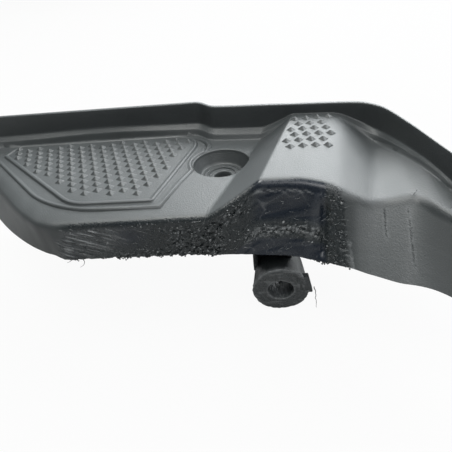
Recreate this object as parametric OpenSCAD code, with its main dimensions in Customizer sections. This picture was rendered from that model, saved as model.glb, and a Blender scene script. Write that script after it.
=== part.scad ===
// Scooter floorboard: one moulded plastic shell with a studded tread pad, a
// raised step, a deep bolt well and a fixing tube that hangs below its skirt.
// X runs along the board, Y points at the upright back wall and Z points up.
// The origin is the middle of the bolt hole's upper rim, at the bottom of the well.

/* [Shell] */
// Wall thickness of the moulding
shell_t = 2.6; // [2:0.1:3.2]
// Depth of the skirt below the floor
skirt_h = 21; // [15:1:30]
// Height of the back wall's top above the floor
wall_top = 17.5; // [15:0.5:26]
// Distance from the well to the straight front edge
front_reach = 47; // [44:1:56]
// Distance from the well to the back wall, left of its joggle
back_reach = 40; // [38:1:50]
// Depth of the joggle that brings the back wall forward behind the well
joggle = 8.5; // [2:0.5:11]
// Reach of the left end from the well
left_reach = 160; // [150:1:220]
// Reach from the well to where the front edge starts its taper to the left end
taper_reach = 82; // [74:1:90]
// Reach of the right end from the well
right_reach = 104; // [101:1:125]
// How far in front of the well the right end reaches
nose_reach = 88; // [84:1:110]
// Size of the rounding along the front edge
edge_r = 3.5; // [1:0.5:5]
// Rise of the ramp along the foot of the back wall
ramp_h = 4; // [1:0.5:6]
// Width of that ramp
ramp_w = 8; // [4:0.5:12]

/* [Step] */
// Height of the raised step above the floor
step_h = 12; // [6:0.5:14]
// How far the skirt leans out under the step
step_lean = 8.6; // [2:0.2:12]
// How far the skirt leans out in front of the right end
end_lean = 24; // [16:1:28]

/* [Tread] */
// Height of the tread pad above the floor
pad_h = 1.2; // [0.6:0.1:2.5]
// Height of the plain margin round the pad
margin_h = 0.6; // [0.3:0.1:1.2]
// Distance from the well to the back edge of the pad
pad_back = 34.5; // [33:0.5:36]
// Distance from the well to the front edge of the pad
pad_front = 35.6; // [34:0.5:38]
// Width of the bead round the pad
bead_w = 2.2; // [1:0.1:3]
// Height of that bead above the pad
bead_h = 0.5; // [0.2:0.1:1]
// Spacing of the studs
stud_pitch = 5.925; // [5:0.025:9]
// Corner to corner size of a stud
stud_w = 4.8; // [3:0.1:4.9]
// Height of a stud
stud_h = 1.7; // [0.8:0.1:2.5]

/* [Bolt well] */
// Diameter of the well's mouth
well_d = 28.7; // [24:0.1:32]
// Diameter of the well's flat seat
seat_d = 22.6; // [18:0.1:23]
// Depth of the seat below the floor
seat_depth = 7; // [4:0.5:14]
// Diameter of the shallow counterbore in the seat
counter_d = 14.4; // [11:0.1:17]
// Diameter of the bolt hole
bolt_d = 8.6; // [5:0.1:10]

/* [Fixing tube] */
// Outer diameter of the tube
tube_d = 26.8; // [20:0.2:30]
// How much narrower the tube is at its back end
tube_draft = 2.6; // [0:0.2:4]
// Diameter of the tube's bore
bore_d = 12.2; // [8:0.2:14]
// Length of the tube
tube_len = 15; // [10:1:22]
// How far the tube's axis lies below the floor
tube_drop = 45; // [40:0.5:50]
// How far the tube's axis lies to the right of the well
tube_x = 27.4; // [26:0.1:30]
// How far the tube's worn end lies in front of the well
tube_front = 48; // [44:1:52]
// Thickness of the ribs that carry the tube
rib_t = 2.1; // [1.5:0.1:3]
// How far the tab beside the tube's end stands out from the tube
tab_w = 2; // [1:0.5:5]
// Height of that tab
tab_h = 10.5; // [8:0.5:14]

/* [Hidden] */

front_y = -front_reach;
wall_y = back_reach;
joggle_y = back_reach - joggle;

// The loft's sections run from the front edge to the foot of the back wall.
// Each row is: front x, front y, wall x, wall y, lean of the skirt, floor
// height at the front, floor height at the wall, droop of the outer margin.
SECTIONS = [
    [-left_reach, wall_y - 10, 3 - left_reach, wall_y, 8, 0, 0, 2],
    [(-left_reach - taper_reach) / 2 - 4, (wall_y - 10 + front_y) / 2 + 4, 24 - left_reach, wall_y, 10.3, 0, 0, 2],
    [-taper_reach - 8.8, front_y + 8.8, -taper_reach - 22, wall_y, 0.6, 0, 0, 1.8],
    [-taper_reach + 1, front_y + 2.3, -taper_reach - 2, wall_y, -1.4, 0, 0, 1.6],
    [-taper_reach + 12.4, front_y, -taper_reach + 20, wall_y, 0.6, 0, 0, 1.4],
    [-43, front_y, -18, wall_y, 0, 0, 0, 0.8],
    [-27, front_y, -4, joggle_y, 0, 0, 0, 0.4],
    [-3.6, front_y, 22.5, joggle_y - 2.6, 0.3, 0, 0, 0],
    [18.9, front_y + 7, 38.4, joggle_y - 4.3, step_lean, step_h, step_h, 0],
    [33, front_y + 6.6, 50, joggle_y - 5.4, step_lean + 0.9, step_h, step_h, 0],
    [47.8, front_y + 4.5, 60.5, joggle_y - 6.5, step_lean + 3.7, step_h, step_h, 0],
    [57.5, front_y + 3, 72, joggle_y - 8.5, 14.5, step_h * 0.46, step_h * 0.42, 0],
    [67.6, front_y + 3, 81, joggle_y - 16, 19.5, 2, 1, 0],
    [80, front_y + 2, 88, joggle_y - 37.5, end_lean, 4.5, 4, 0],
    [88, front_y - 10, 92.3, joggle_y - 56.5, 16, 5, 6, 0],
    [96, front_y - 25, 97.5, joggle_y - 79.5, 11, 5, 5, 0],
    [right_reach - 1, -nose_reach, right_reach, 12 - nose_reach, 7, 5, 5, 0]
];
flank = 8;
splits = 3;
droop_w = 10;
lip = 0.7;

// Rise per step that keeps a curve through the rows from overshooting.
function slope(v, i) =
    let (a = i > 0 ? v[i] - v[i - 1] : v[1] - v[0],
         b = i < len(v) - 1 ? v[i + 1] - v[i] : v[i] - v[i - 1])
    a * b <= 0 ? 0 : 2 * a * b / (a + b);
function curve(v, i, t) =
    v[i] * (2 * t - 3) * t * t + v[i] + slope(v, i) * t * (1 - t) * (1 - t)
    + v[i + 1] * (3 - 2 * t) * t * t - slope(v, i + 1) * t * t * (1 - t);
function line(v, i, t) = v[i] + (v[i + 1] - v[i]) * t;
function column(k) = [for (row = SECTIONS) row[k]];
COLUMNS = [for (k = [0:7]) column(k)];
last_row = len(SECTIONS) - 1;

// A row of the loft at any place u, from 0 at the left end to last_row. The
// step's left flank is straight, and its right one is rounded over.
function row_at(u) =
    let (i = min(floor(u), last_row - 1), t = u - i)
    [for (k = [0:7]) k < 5 || i > flank ? curve(COLUMNS[k], i, t) : line(COLUMNS[k], i, t)];
function span(row) = norm([row[2] - row[0], row[3] - row[1]]);
function bezier(a, b, c, t) = a * (1 - t) * (1 - t) + b * 2 * t * (1 - t) + c * t * t;

// Height of the floor at a distance d from the front edge.
function floor_z(row, d) =
    let (l = span(row), ramp = min(ramp_w, l * 0.4), droop = min(droop_w, l * 0.3),
         up = max(0, d - l + ramp) / ramp)
    row[5] + (row[6] - row[5]) * d / l - row[7] * max(0, 1 - d / droop)
    + ramp_h * (1 - min(row[6] / step_h, 1)) * up * up;
function floor_stops(l) =
    let (ramp = min(ramp_w, l * 0.4), droop = min(droop_w, l * 0.3))
    [droop, l * 0.35, (l - ramp) * 0.7, l - ramp, l - ramp * 0.6, l - ramp * 0.25, l];

// The outer skin of one section, as distance and height, from the skirt's
// bottom over the floor and the back wall to the wall's own bottom.
function skin(row, bottom) =
    let (l = span(row), lean = row[4], top = floor_z(row, 0),
         r = min(edge_r, l * 0.25),
         fall = norm([lean, top + skirt_h]),
         edge = [0, top],
         on_skirt = edge + [-lean, -top - skirt_h] * r / fall,
         on_floor = [r, floor_z(row, r)])
    concat([[-lean, bottom]], bottom < -skirt_h ? [] : [[-lean * 0.5, (top - skirt_h) / 2]],
        [for (t = [0:0.25:1]) bezier(on_skirt, edge, on_floor, t)],
        [for (d = floor_stops(l)) [d, floor_z(row, d)]],
        [[l, wall_top - lip], [l + lip, wall_top], [l + shell_t - lip, wall_top],
         [l + shell_t, wall_top - lip], [l + shell_t, bottom]]);

// The hollow under the same section, one wall thickness inside the skin.
function hollow(row) =
    let (l = span(row), lean = row[4], top = floor_z(row, 0),
         tilt = lean / (top + skirt_h), across = shell_t * sqrt(1 + tilt * tilt))
    concat([[across - lean, -skirt_h],
            [across - lean * 0.5, (top - skirt_h) / 2],
            [across - tilt * shell_t, floor_z(row, across) - shell_t]],
        [for (d = floor_stops(l)) [max(d, across + 0.4), floor_z(row, d) - shell_t]],
        [[l, -skirt_h]]);

// Section points set upright on the line from the front edge to the wall.
function stand(row, points) =
    let (l = span(row), dir = [row[2] - row[0], row[3] - row[1]] / l)
    [for (p = points) [row[0] + dir[0] * p[0], row[1] + dir[1] * p[0], p[1]]];
function strip(a, b, m, n) = [for (i = [0:n - 2], j = [0:m - 2]) each
    [[a + i * m + j, a + (i + 1) * m + j, b + (i + 1) * m + j + 1],
     [a + i * m + j, b + (i + 1) * m + j + 1, a + i * m + j + 1]]];

places = [for (u = [0:1 / splits:last_row]) u];
count = len(places);
end_in = shell_t / 14;
inner_places = [for (k = [0:count - 1]) k == 0 ? end_in : k == count - 1 ? last_row - end_in : places[k]];

function flip(faces) = [for (f = faces) [for (k = [len(f) - 1:-1:0]) f[k]]];
function loft_faces(start, m) = strip(start, start, m, count);

// The moulded shell as one closed surface: skin, hollow and bottom rim.
module shell() {
    outer = [for (u = places) let (row = row_at(u)) stand(row, skin(row, -skirt_h))];
    inner = [for (u = inner_places) let (row = row_at(u)) stand(row, hollow(row))];
    m = len(outer[0]);
    k = len(inner[0]);
    base = count * m;
    end = (count - 1) * m;
    inner_end = base + (count - 1) * k;
    rim = [for (i = [0:count - 2]) each
        [[i * m, base + i * k, base + (i + 1) * k], [i * m, base + (i + 1) * k, (i + 1) * m],
         [i * m + m - 1, base + (i + 1) * k + k - 1, base + i * k + k - 1],
         [i * m + m - 1, (i + 1) * m + m - 1, base + (i + 1) * k + k - 1]]];
    caps = [[for (j = [0:m - 1]) j], [for (j = [m - 1:-1:0]) end + j],
            [for (j = [k - 1:-1:0]) base + j], [for (j = [0:k - 1]) inner_end + j],
            [0, m - 1, base + k - 1, base], [end, inner_end, inner_end + k - 1, end + m - 1]];
    polyhedron([for (s = outer) each s, for (s = inner) each s],
        flip(concat(loft_faces(0, m), flip(loft_faces(base, k)), rim, caps)), convexity = 6);
}

// Everything that lies below the floor, one half thickness inside it.
module under_floor() {
    deep = -tube_drop - tube_d;
    solid = [for (u = places) let (row = row_at(u)) stand(row, skin(row, deep))];
    m = len(solid[0]);
    under = [for (i = [0:count - 2]) each
        [[i * m, i * m + m - 1, (i + 1) * m + m - 1], [i * m, (i + 1) * m + m - 1, (i + 1) * m]]];
    translate([0, 0, -shell_t / 2])
        polyhedron([for (s = solid) each s],
            flip(concat(loft_faces(0, m), under,
                [[for (j = [0:m - 1]) j], [for (j = [m - 1:-1:0]) (count - 1) * m + j]])), convexity = 6);
}

// Corner points of a closed outline turned into arcs of the given radii.
function rounded(points, radii, steps = 5) = [
    for (i = [0:len(points) - 1]) each
    let (n = len(points), p = points[i], a = points[(i + n - 1) % n] - p, b = points[(i + 1) % n] - p,
         ua = a / norm(a), ub = b / norm(b), half = acos(ua * ub) / 2,
         reach = radii[i] / tan(half), start = p + ua * reach, stop = p + ub * reach,
         centre = p + (ua + ub) / norm(ua + ub) * radii[i] / sin(half),
         from = atan2(start[1] - centre[1], start[0] - centre[0]),
         turn = atan2(stop[1] - centre[1], stop[0] - centre[0]) - from,
         sweep = turn > 180 ? turn - 360 : turn < -180 ? turn + 360 : turn)
    [for (k = [0:steps]) centre + radii[i] * [cos(from + sweep * k / steps), sin(from + sweep * k / steps)]]
];

// The pad is a leaning trapezium whose left end runs to a point. The four
// edges are the back, the right side, the front and the tapered left side.
side_lean = 0.274;
side_x = -19.2;
taper_n = [-0.632, -0.775];
taper_c = 67.2;
function taper_x(y, inset) = (taper_c - inset - taper_n[1] * y) / taper_n[0];
function side_x_at(y, inset) = side_x - inset * 1.04 + side_lean * y;
function pad_outline(inset) = rounded(
    [[taper_x(pad_back - inset, inset), pad_back - inset], [side_x_at(pad_back - inset, inset), pad_back - inset],
     [side_x_at(inset - pad_front, inset), inset - pad_front], [taper_x(inset - pad_front, inset), inset - pad_front]],
    [3, 14 - inset, 2, 12 - inset]);

module margin() {
    outline = rounded(
        [[-152, wall_y - 4], [-77, 8.4 - front_reach], [-25, 8.4 - front_reach], [-5.3, 20], [-21, wall_y - 4]],
        [3, 60, 1, 12, 3]);
    translate([0, 0, -shell_t / 2]) linear_extrude(shell_t / 2 + margin_h) polygon(outline);
}

module pad() {
    translate([0, 0, -shell_t / 2]) linear_extrude(shell_t / 2 + pad_h) polygon(pad_outline(0));
    translate([0, 0, pad_h - 0.3]) linear_extrude(bead_h + 0.3) difference() {
        polygon(pad_outline(0));
        polygon(pad_outline(bead_w));
    }
}

module stud() {
    sunk = 0.25;
    translate([0, 0, -sunk])
        cylinder(h = stud_h + sunk, r1 = stud_w / 2 * (1 + sunk / stud_h), r2 = 0, $fn = 4);
}

// Studs on a turned square lattice, kept clear of each edge of the pad.
stud_turn = 21.7;
lattice_start = [-132.1, 33.8];
clear_back = 6.5;
clear_side = 6.6;
clear_front = 7.6;
clear_taper = 3.6;
function on_pad(p) =
    p[1] < pad_back - clear_back && p[1] > clear_front - pad_front
    && p[0] < side_x_at(p[1], clear_side) && taper_n * p < taper_c - clear_taper;
module pad_studs() {
    along = stud_pitch * [cos(stud_turn), sin(stud_turn)];
    across = stud_pitch * [sin(stud_turn), -cos(stud_turn)];
    for (i = [0:20], j = [0:20]) {
        p = lattice_start + along * i + across * (j + 0.5);
        if (on_pad(p)) translate([p[0], p[1], pad_h]) rotate(stud_turn) stud();
    }
}

// Six staggered rows of studs on the back half of the step.
module step_studs() {
    corner = [39.2, 19.8];
    along = stud_pitch * [0.974, 0.06];
    back = stud_pitch * [-0.262, -1.038];
    for (row = [0:5], i = [0:3]) {
        p = corner + back * row + along * (i + (row % 2) / 2);
        if (row != 1 || i < 3) translate([p[0], p[1], step_h]) rotate(3.5) stud();
    }
}

// The cup of the bolt well, and the space that is cut out of it.
hole_z = -seat_depth - 1;
module well_cup() {
    rotate_extrude($fn = 72) polygon([
        [0, hole_z - shell_t], [seat_d / 2 + shell_t * 0.6, hole_z - shell_t],
        [well_d / 2 + shell_t, 0], [well_d / 2 + shell_t, step_h], [0, step_h]]);
}
module well_space() {
    rotate_extrude($fn = 72) polygon([
        [0, hole_z], [bolt_d / 2 + 0.5, hole_z], [counter_d / 2, -seat_depth - 0.4],
        [counter_d / 2, -seat_depth - 0.1], [seat_d / 2, -seat_depth],
        [well_d / 2, 0], [well_d / 2, step_h + 2], [0, step_h + 2]]);
    translate([0, 0, hole_z - shell_t - 1]) cylinder(d = bolt_d, h = shell_t + 2, $fn = 48);
}

// The tube lies along Y below the skirt, with its bore open at both ends.
module along_y() {
    translate([tube_x, -tube_front, -tube_drop]) rotate([-90, 0, 0]) children();
}
module tube_ribs() {
    top = step_h;
    for (x = [tube_x - tube_d / 2 + 0.6, tube_x + tube_d / 2 - 9.5])
        translate([x, 0, 0]) rotate([90, 0, 90]) linear_extrude(rib_t) polygon([
            [9 - tube_front, top], [10 - tube_front, -tube_drop + tube_d / 2 - 6], [tube_len - tube_front, -tube_drop],
            [tube_len - tube_front + 5, -tube_drop], [tube_len - tube_front + 22, -skirt_h],
            [tube_len - tube_front + 22, top]]);
    translate([tube_x - tube_d / 2 + 0.6, tube_len - tube_front, -tube_drop])
        cube([tube_d - 10.1 + rib_t, rib_t, tube_drop + top]);
}
module tube_tab() {
    low = 2;
    translate([tube_x + tube_d / 2, 3 - tube_front, -tube_drop - low]) rotate([90, 0, 0])
        linear_extrude(3) polygon([[-6, 0], [tab_w, 0], [tab_w - 2.4, tab_h], [-6, tab_h]]);
}

// All heights above are counted from the floor. The board is then raised so
// that the bolt hole's rim comes to height 0.
module floorboard() {
    color("#26282a") translate([0, 0, -hole_z]) difference() {
        union() {
            shell();
            margin();
            pad();
            pad_studs();
            step_studs();
            intersection() {
                union() {
                    well_cup();
                    tube_ribs();
                }
                under_floor();
            }
            along_y() cylinder(d1 = tube_d, d2 = tube_d - tube_draft, h = tube_len, $fn = 64);
            tube_tab();
        }
        well_space();
        along_y() translate([0, 0, -1]) cylinder(d = bore_d, h = tube_len + rib_t + 6, $fn = 48);
    }
}

floorboard();
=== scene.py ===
import math

import bmesh
import bpy
import numpy as np
from bpy.props import FloatProperty, FloatVectorProperty, IntProperty, PointerProperty
from mathutils import Matrix


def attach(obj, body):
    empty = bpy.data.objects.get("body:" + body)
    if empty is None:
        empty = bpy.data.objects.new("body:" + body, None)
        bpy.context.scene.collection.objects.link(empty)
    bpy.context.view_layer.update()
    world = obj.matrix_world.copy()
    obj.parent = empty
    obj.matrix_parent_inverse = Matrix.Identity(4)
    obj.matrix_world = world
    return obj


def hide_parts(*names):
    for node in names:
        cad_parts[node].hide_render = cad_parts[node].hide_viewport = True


bl_info = {
    "name": "Scooter Floorboard",
    "version": (1, 0, 0),
    "blender": (4, 5, 0),
    "location": "3D View > Sidebar > Floorboard",
    "description": "Builds a scuffed, moulded scooter floorboard from surfaces worked out with numpy",
    "category": "Add Mesh",
}

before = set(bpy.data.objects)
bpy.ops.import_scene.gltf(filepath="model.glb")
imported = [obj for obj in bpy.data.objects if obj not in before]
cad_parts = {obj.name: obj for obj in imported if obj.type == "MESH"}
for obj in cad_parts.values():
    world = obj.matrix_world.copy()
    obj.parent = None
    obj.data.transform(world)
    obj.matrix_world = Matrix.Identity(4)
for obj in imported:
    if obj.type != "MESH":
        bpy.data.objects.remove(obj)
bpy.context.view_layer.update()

# Shapes are worked out in millimetres, with the floor at height 0. The frame
# is in metres, with the bolt hole's rim at height 0, which is 8 mm lower.
MM = 0.001
FLOOR_UP = 8.0

# Plan lines: the front edge, and the wall's foot left and right of its joggle.
# Up to the row of the step's left flank the floor's heights change evenly.
FRONT_Y, WALL_Y, JOGGLE_Y = -47.0, 40.0, 31.5
FLANK_ROW = 8

# The bolt well's rings, as radius and drop below the floor, then as radius and
# height: down its wall, over the stepped seat with its raised rings, through
# the bolt hole and round its collar, and up again on the underside.
WELL_RIM = ((14.95, 0), (14.62, 0.12), (14.42, 0.42))
WELL_WALL = ((14.37, -0.9), (14.1, -1.6), (12.0, -5.6), (11.5, -6.7), (11.1, -7.0))
WELL_SEAT = (
    (9.9, -7.0), (9.6, -6.75), (9.2, -6.7), (8.9, -7.1), (7.7, -7.15), (7.4, -6.95),
    (7.1, -6.95), (6.8, -7.6), (5.6, -7.75), (5.3, -7.6), (4.9, -7.65), (4.5, -8.0),
    (4.3, -8.3), (4.3, -13.4), (4.5, -13.6), (5.6, -13.6), (5.8, -13.4), (5.9, -10.6))
WELL_UNDER = ((8.0, -10.6), (12.5, -10.6), (12.95, -10.2), (14.4, -6.4), (15.95, -2.62))
FLOOR_HOLE, CEILING_HOLE = 15.3, 16.4

# The fixing tube's axis, and the y of its broken end and of its back.
TUBE_X, TUBE_Z, TUBE_FRONT, TUBE_BACK = 27.4, -45.0, -48.0, -33.0

# The kerb's crest in plan, which the margin's outline shares.
KERB = (
    (-9.4, 14.0), (-9.2, 17.8), (-10.9, 21.8), (-14.4, 25.6), (-19.3, 29.4), (-24, 32.4), (-29, 35.0))

# The lattice of the studs: its pitch, and how far it is turned on the pad.
STUD_PITCH, PAD_TURN = 5.925, math.radians(21.7)

# Inset and height through a plate 2.1 mm thick with blunt edges.
PLATE_THICKNESS = 2.1
BEVELLED = ((0.35, 0), (0.1, 0.1), (0, 0.35), (0, 1.75), (0.1, 2.0), (0.35, PLATE_THICKNESS))

# Burrs under the skirt: place along the front edge, size, number of lumps.
BURRS = (
    (-71.2, 0.9, 8), (-67.5, 1.1, 12), (-54, 0.8, 10), (-46.5, 1.3, 22), (-43.0, 1.5, 26), (-38, 0.8, 10),
    (-33.4, 1.3, 18), (-27.5, 1.1, 16), (-22, 0.8, 8), (-17.2, 1.0, 14), (-3.4, 1.6, 28), (-0.8, 0.9, 10),
    (9, 0.6, 6), (30, 0.6, 8), (36, 0.7, 8), (45.8, 1.6, 24), (48.6, 1.2, 12), (58.4, 1.2, 9))

# The six points and eight faces of a lump of torn plastic.
LUMP = np.array([(1, 0, 0), (0, 1, 0), (-1, 0, 0), (0, -1, 0), (0, 0, 1), (0, 0, -1)], float)
LUMP_FACES = np.array([(0, 1, 4), (1, 2, 4), (2, 3, 4), (3, 0, 4), (1, 0, 5), (2, 1, 5), (3, 2, 5), (0, 3, 5)])

# Columns of the board's grid, steps round the well and the tube, and the
# number of random values along each side of a noise lattice.
COLUMNS, WELL_STEPS, TUBE_STEPS, LATTICE = 520, 128, 160, 128


class FloorboardSizes(bpy.types.PropertyGroup):
    """Sizes of the moulding that the surfaces are worked out from."""
    skirt_depth: FloatProperty(
        name="Skirt Depth", description="Depth of the skirt below the floor",
        default=0.021, min=0.01, unit="LENGTH")
    wall_top: FloatProperty(
        name="Wall Top", description="Height of the back wall's top above the floor",
        default=0.0175, min=0.012, unit="LENGTH")
    wall_thickness: FloatProperty(
        name="Wall Thickness", description="Thickness of the moulding",
        default=0.0026, min=0.001, unit="LENGTH")
    edge_round: FloatProperty(
        name="Edge Rounding", description="Rounding along the front edge",
        default=0.0035, min=0.0005, unit="LENGTH")
    step_height: FloatProperty(
        name="Step Height", description="Height of the raised step",
        default=0.012, min=0.004, unit="LENGTH")
    pad_height: FloatProperty(
        name="Pad Height", description="Height of the tread pad above the floor",
        default=0.0012, min=0.0003, unit="LENGTH")
    margin_height: FloatProperty(
        name="Margin Height", description="Height of the plain margin round the pad",
        default=0.0006, min=0.0002, unit="LENGTH")
    bead_height: FloatProperty(
        name="Bead Height", description="Height of the bead above the pad",
        default=0.0005, min=0.0001, unit="LENGTH")
    stud_size: FloatProperty(
        name="Stud Size", description="Corner to corner size of a stud",
        default=0.0046, min=0.002, unit="LENGTH")
    stud_height: FloatProperty(
        name="Stud Height", description="Height of a stud",
        default=0.0017, min=0.0005, unit="LENGTH")
    tube_radius: FloatProperty(
        name="Tube Radius", description="Outer radius of the fixing tube's end",
        default=0.0134, min=0.008, unit="LENGTH")
    bore_radius: FloatProperty(
        name="Bore Radius", description="Radius of the fixing tube's bore",
        default=0.0061, min=0.003, unit="LENGTH")


class FloorboardFinish(bpy.types.PropertyGroup):
    """Colours of the plastic and how badly the skirt is scraped."""
    plastic: FloatVectorProperty(
        name="Plastic", description="Colour of the moulded plastic",
        subtype="COLOR", size=3, min=0, max=1, default=(0.032, 0.0357, 0.037))
    # the scraped colour also paints shade on the lower half of the skirt's rounded edge
    scraped: FloatVectorProperty(
        name="Scraped Plastic", description="Colour of the torn, fibrous plastic",
        subtype="COLOR", size=3, min=0, max=1, default=(0.011, 0.0145, 0.016))
    rash_depth: FloatProperty(
        name="Rash Depth", description="How deep the scraping bites into the skirt",
        default=0.0004, min=0, unit="LENGTH")
    flakes: IntProperty(
        name="Flakes", description="Number of torn flakes on the scraped skirt",
        default=760, min=0)
    fibres: IntProperty(
        name="Fibres", description="Number of loose fibres on the scraped skirt",
        default=170, min=0)


# Shapes

def section_table(sizes):
    """Rows of the loft from the left end to the right one, as in the solid.

    Each row is: front x, front y, wall x, wall y, lean of the skirt, floor
    height at the front, floor height at the wall, droop of the margin."""
    step = sizes.step_height / MM
    return np.array([
        (-160, WALL_Y - 10, -157, WALL_Y, 8, 0, 0, 2), (-125, -4.5, -136, WALL_Y, 10.3, 0, 0, 2),
        (-90.8, FRONT_Y + 8.8, -104, WALL_Y, 0.6, 0, 0, 1.8),
        (-81, FRONT_Y + 2.3, -84, WALL_Y, -1.4, 0, 0, 1.6),
        (-69.6, FRONT_Y, -62, WALL_Y, 0.6, 0, 0, 1.4), (-43, FRONT_Y, -18, WALL_Y, 0, 0, 0, 0.8),
        (-27, FRONT_Y, -4, JOGGLE_Y, 0, 0, 0, 0.4), (-3.6, FRONT_Y, 22.5, JOGGLE_Y - 2.6, 0.3, 0, 0, 0),
        (18.9, FRONT_Y + 7, 38.4, JOGGLE_Y - 4.3, 8.6, step, step, 0),
        (33, FRONT_Y + 6.6, 50, JOGGLE_Y - 5.4, 9.5, step, step, 0),
        (47.8, FRONT_Y + 4.5, 60.5, JOGGLE_Y - 6.5, 12.3, step * 0.82, step, 0),
        (57.5, FRONT_Y + 3, 72, JOGGLE_Y - 8.5, 14.5, step * 0.46, step * 0.42, 0),
        (67.6, FRONT_Y + 3, 81, JOGGLE_Y - 16, 19.5, 2, 1, 0),
        (80, FRONT_Y + 2, 88, JOGGLE_Y - 37.5, 24, 4.5, 4, 0),
        (88, FRONT_Y - 10, 92.3, JOGGLE_Y - 56.5, 16, 5, 6, 0),
        (96, FRONT_Y - 25, 97.5, JOGGLE_Y - 79.5, 11, 5, 5, 0), (103, -88, 104, -76, 7, 5, 5, 0)], float)


def between(table, u):
    """The table's columns at places u: a cubic through the rows whose slope is
    the harmonic mean of the two neighbouring rises, and 0 where they disagree."""
    i = np.clip(np.floor(u).astype(int), 0, len(table) - 2)
    t = (u - i)[..., None]
    rise = np.diff(table, axis=0)
    before, after = np.vstack([rise[:1], rise]), np.vstack([rise, rise[-1:]])
    agree = before * after > 0
    slope = np.where(agree, 2 * before * after / np.where(agree, before + after, 1), 0)
    a, b = table[i], table[i + 1]
    cubic = (a * (2 * t - 3) * t * t + a + slope[i] * t * (1 - t) ** 2
             + b * (3 - 2 * t) * t * t - slope[i + 1] * t * t * (1 - t))
    cubic[..., 5:] = np.where((i > FLANK_ROW)[..., None], cubic[..., 5:], (a + (b - a) * t)[..., 5:])
    return cubic


def rows_at(sizes, u):
    """Rows of the loft at places u, with the floor heights averaged over five
    neighbouring places, weighted 1 4 6 4 1. This rounds the step's creases,
    most of all the one where it falls towards the right."""
    table = section_table(sizes)
    last = len(table) - 1.0
    rows = between(table, np.clip(u, 0, last))
    soft = 0.035 + 0.2 * step_up(u, 9.0, 10.2) * (1 - step_up(u, 11.1, 11.9))
    shifted = [between(table, np.clip(u + k * soft, 0, last))[..., 5:] for k in (-2, -1, 0, 1, 2)]
    rows[..., 5:] = sum(w * part for w, part in zip((1, 4, 6, 4, 1), shifted)) / 16
    return rows


def run_of(rows):
    """The way from the front edge to the foot of the wall, in x and in y."""
    return rows[..., 2] - rows[..., 0], rows[..., 3] - rows[..., 1]


def reach(rows):
    """Distance from the front edge to the foot of the wall."""
    return np.hypot(*run_of(rows))


def floor_height(rows, d, step):
    """Floor height at distance d from the front edge: a straight line between
    the row's two heights, less the margin's droop, plus a ledge at the foot of
    the wall with a steep smooth side, which dies away on the step. The ledge
    is highest and narrowest behind the pad's middle."""
    at_front, at_wall, sag = rows[..., 5], rows[..., 6], rows[..., 7]
    length, bow = reach(rows), bump(rows[..., 2], -72, 45)
    ledge, droop = np.minimum(5.9 - 2.4 * bow, length * 0.3), np.minimum(13, length * 0.35)
    side = step_up(d - length, -ledge, -0.55 * ledge) * (3.0 + 1.3 * bow)
    crest = np.clip((d - length) / ledge / 0.55 + 1, 0, 1) * (1.85 + 0.3 * bow)
    return (at_front + (at_wall - at_front) * d / length
            - sag * np.clip(1 - d / droop, 0, None) ** 1.6
            + (1 - np.clip(at_wall / step, 0, 1)) * (side + crest) * np.minimum(1, length / 30))


def bezier(a, b, c, t):
    """Quadratic curve from a to c that leaves towards b."""
    return a * (1 - t) ** 2 + b * 2 * t * (1 - t) + c * t * t


def stand(rows, d, z):
    """Section points (d, z) as points in space, on the line from front to wall."""
    run_x, run_y = run_of(rows)
    length = reach(rows)
    return np.stack([rows[..., 0] + run_x / length * d, rows[..., 1] + run_y / length * d, z], axis=-1)


def place_over(sizes, x, y):
    """Row and distance d of the section that runs over each plan point, found
    by halving the range in which the point lies left or right of it."""
    low, high = np.zeros(x.shape), np.full(x.shape, len(section_table(sizes)) - 1.0)
    for _ in range(32):
        u = (low + high) / 2
        rows = rows_at(sizes, u)
        (run_x, run_y), from_x, from_y = run_of(rows), x - rows[..., 0], y - rows[..., 1]
        side = run_x * from_y - run_y * from_x
        high, low = np.where(side > 0, u, high), np.where(side > 0, low, u)
    return rows, (run_x * from_x + run_y * from_y) / reach(rows)


def floor_over(sizes, x, y):
    """Height of the floor over plan points (x, y)."""
    rows, d = place_over(sizes, np.asarray(x, float), np.asarray(y, float))
    return floor_height(rows, d, sizes.step_height / MM)


def noise(x, y, cell_x, cell_y, seed):
    """Smooth noise from -1 to 1: random values on a lattice of cells, blended
    across each cell with the curve t * t * (3 - 2 * t)."""
    lattice = np.random.default_rng(seed).uniform(-1, 1, (LATTICE, LATTICE))
    gx, gy = x / cell_x, y / cell_y
    ix, iy = np.floor(gx).astype(int), np.floor(gy).astype(int)
    tx, ty = gx - ix, gy - iy
    tx, ty = tx * tx * (3 - 2 * tx), ty * ty * (3 - 2 * ty)
    value = lambda i, j: lattice[i % LATTICE, j % LATTICE]
    row = lambda j: value(ix, j) * (1 - tx) + value(ix + 1, j) * tx
    return row(iy) * (1 - ty) + row(iy + 1) * ty


def step_up(x, low, high):
    """0 below low, 1 above high, and t * t * (3 - 2 * t) between."""
    t = np.clip((x - low) / (high - low), 0, 1)
    return t * t * (3 - 2 * t)


def bump(x, centre, width):
    """A bell of height 1 round the centre, exp of minus the squared distance."""
    return np.exp(-((x - centre) / width) ** 2)


# Meshes

def grid_quads(rows, columns, start=0, around=False):
    """Faces of a grid of points stored row after row, its last column joined
    to its first where the grid runs around."""
    i, j = np.meshgrid(np.arange(rows - 1), np.arange(columns if around else columns - 1), indexing="ij")
    k = (j + 1) % columns
    quads = np.stack([i * columns + j, (i + 1) * columns + j, (i + 1) * columns + k, i * columns + k], axis=-1)
    return start + quads.reshape(-1, 4)


def copies(faces, polygons, count, size):
    """The same faces and polygons for each of count like groups of points, all
    of the given size and stored one after the other."""
    starts = np.arange(count) * size
    faces = (starts[:, None, None] + faces).reshape(-1, faces.shape[1])
    return faces, [start + polygon for polygon in polygons for start in starts]


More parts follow.
